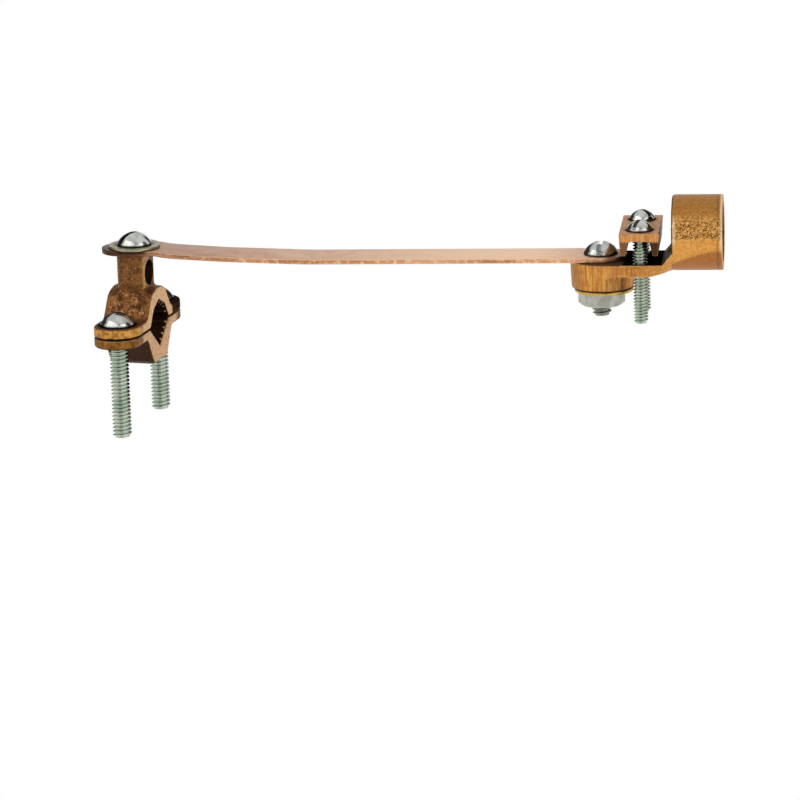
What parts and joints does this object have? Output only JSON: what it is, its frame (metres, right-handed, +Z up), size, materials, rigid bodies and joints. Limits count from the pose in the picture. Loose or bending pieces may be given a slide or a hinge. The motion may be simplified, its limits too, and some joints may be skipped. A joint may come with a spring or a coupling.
{
  "type": "earthing pipe clamp",
  "caption": "Bronze vee jaws drawn together by slotted screws, with a wire post, a copper bonding strap and a conduit hub that has a screwed saddle.",
  "frame": {"origin": "on the wire post's axis, in the plane where the upper jaw's ears end, which is the pipe's axis with the jaws closed", "axes": "+X along the gripped pipe, towards the hub's side; +Y towards the rear clamp screw; +Z up, from the pipe to the strap"},
  "size_m": [0.2048, 0.0765, 0.0765],
  "materials": {
    "jaw_bronze": "rough sand cast",
    "hub_bronze": "cast and filed",
    "saddle_bronze": "cast and filed",
    "strap_copper": "rolled copper",
    "zinc_screw": "bright zinc plate",
    "dull_washer": "dull yellowish zinc",
    "brass_washer": "plain brass",
    "zinc_nut": "dull zinc"
  },
  "bodies": {
    "upper_jaw": {"upper_jaw": "jaw_bronze"},
    "lower_jaw": {"lower_jaw": "jaw_bronze"},
    "hub": {"hub": "hub_bronze", "hub_bolt": "zinc_screw"},
    "saddle": {"saddle": "saddle_bronze"},
    "strap": {"strap": "strap_copper"},
    "clamp_screw_front": {"clamp_screw_front": "zinc_screw"},
    "clamp_screw_rear": {"clamp_screw_rear": "zinc_screw"},
    "post_screw": {"post_screw": "zinc_screw"},
    "saddle_screw_front": {"saddle_screw_front": "zinc_screw"},
    "saddle_screw_rear": {"saddle_screw_rear": "zinc_screw"},
    "post_washer": {"post_washer": "dull_washer"},
    "hub_washer": {"hub_washer": "brass_washer"},
    "hub_nut": {"hub_nut": "zinc_nut"}
  },
  "joints": [
    {"name": "jaw_slide", "type": "slide", "parent": "upper_jaw", "child": "lower_jaw", "axis": [0, 0, -1], "range_m": [0, 0.029]},
    {"name": "clamp_screw_front_turn", "type": "hinge", "parent": "upper_jaw", "child": "clamp_screw_front", "pos_m": [0, -0.0191, 0.0032], "axis": [0, 0, 1], "range_deg": [0, 8223]},
    {"name": "clamp_screw_rear_turn", "type": "hinge", "parent": "upper_jaw", "child": "clamp_screw_rear", "pos_m": [0, 0.0191, 0.0032], "axis": [0, 0, 1], "range_deg": [0, 8223]},
    {"name": "strap_swivel", "type": "hinge", "parent": "upper_jaw", "child": "strap", "pos_m": [0, 0, 0.0237], "axis": [0, 0, 1], "continuous": true},
    {"name": "post_washer_lift", "type": "slide", "parent": "upper_jaw", "child": "post_washer", "axis": [0, 0, 1], "range_m": [0, 0.005]},
    {"name": "post_screw_turn", "type": "hinge", "parent": "post_washer", "child": "post_screw", "pos_m": [0, 0, 0.0262], "axis": [0, 0, 1], "range_deg": [0, 1420]},
    {"name": "hub_swivel", "type": "hinge", "parent": "strap", "child": "hub", "pos_m": [0.15205, 0.02956, 0.02065], "axis": [0, 0, 1], "range_deg": [-100, 100]},
    {"name": "hub_washer_drop", "type": "slide", "parent": "hub", "child": "hub_washer", "axis": [0, 0, -1], "range_m": [-0.00015, 0.003]},
    {"name": "hub_nut_turn", "type": "hinge", "parent": "hub_washer", "child": "hub_nut", "pos_m": [0.15205, 0.02956, 0.00985], "axis": [0, 0, 1], "range_deg": [-853, 46]},
    {"name": "saddle_slide", "type": "slide", "parent": "hub", "child": "saddle", "axis": [0, 0, 1], "range_m": [-0.0019, 0.015]},
    {"name": "saddle_screw_front_turn", "type": "hinge", "parent": "saddle", "child": "saddle_screw_front", "pos_m": [0.16667, 0.02409, 0.03185], "axis": [0, 0, 1], "range_deg": [-649, 5106]},
    {"name": "saddle_screw_rear_turn", "type": "hinge", "parent": "saddle", "child": "saddle_screw_rear", "pos_m": [0.16356, 0.04009, 0.03185], "axis": [0, 0, 1], "range_deg": [-649, 5106]}
  ],
  "couplings": [
    {"joint": "clamp_screw_front_turn", "follows": "jaw_slide", "rad_per_m": 4947.4},
    {"joint": "clamp_screw_rear_turn", "follows": "jaw_slide", "rad_per_m": 4947.4},
    {"joint": "post_screw_turn", "follows": "post_washer_lift", "rad_per_m": 4947.4},
    {"joint": "hub_nut_turn", "follows": "hub_washer_drop", "rad_per_m": -4947.4},
    {"joint": "saddle_screw_front_turn", "follows": "saddle_slide", "rad_per_m": 5937.1},
    {"joint": "saddle_screw_rear_turn", "follows": "saddle_slide", "rad_per_m": 5937.1}
  ]
}
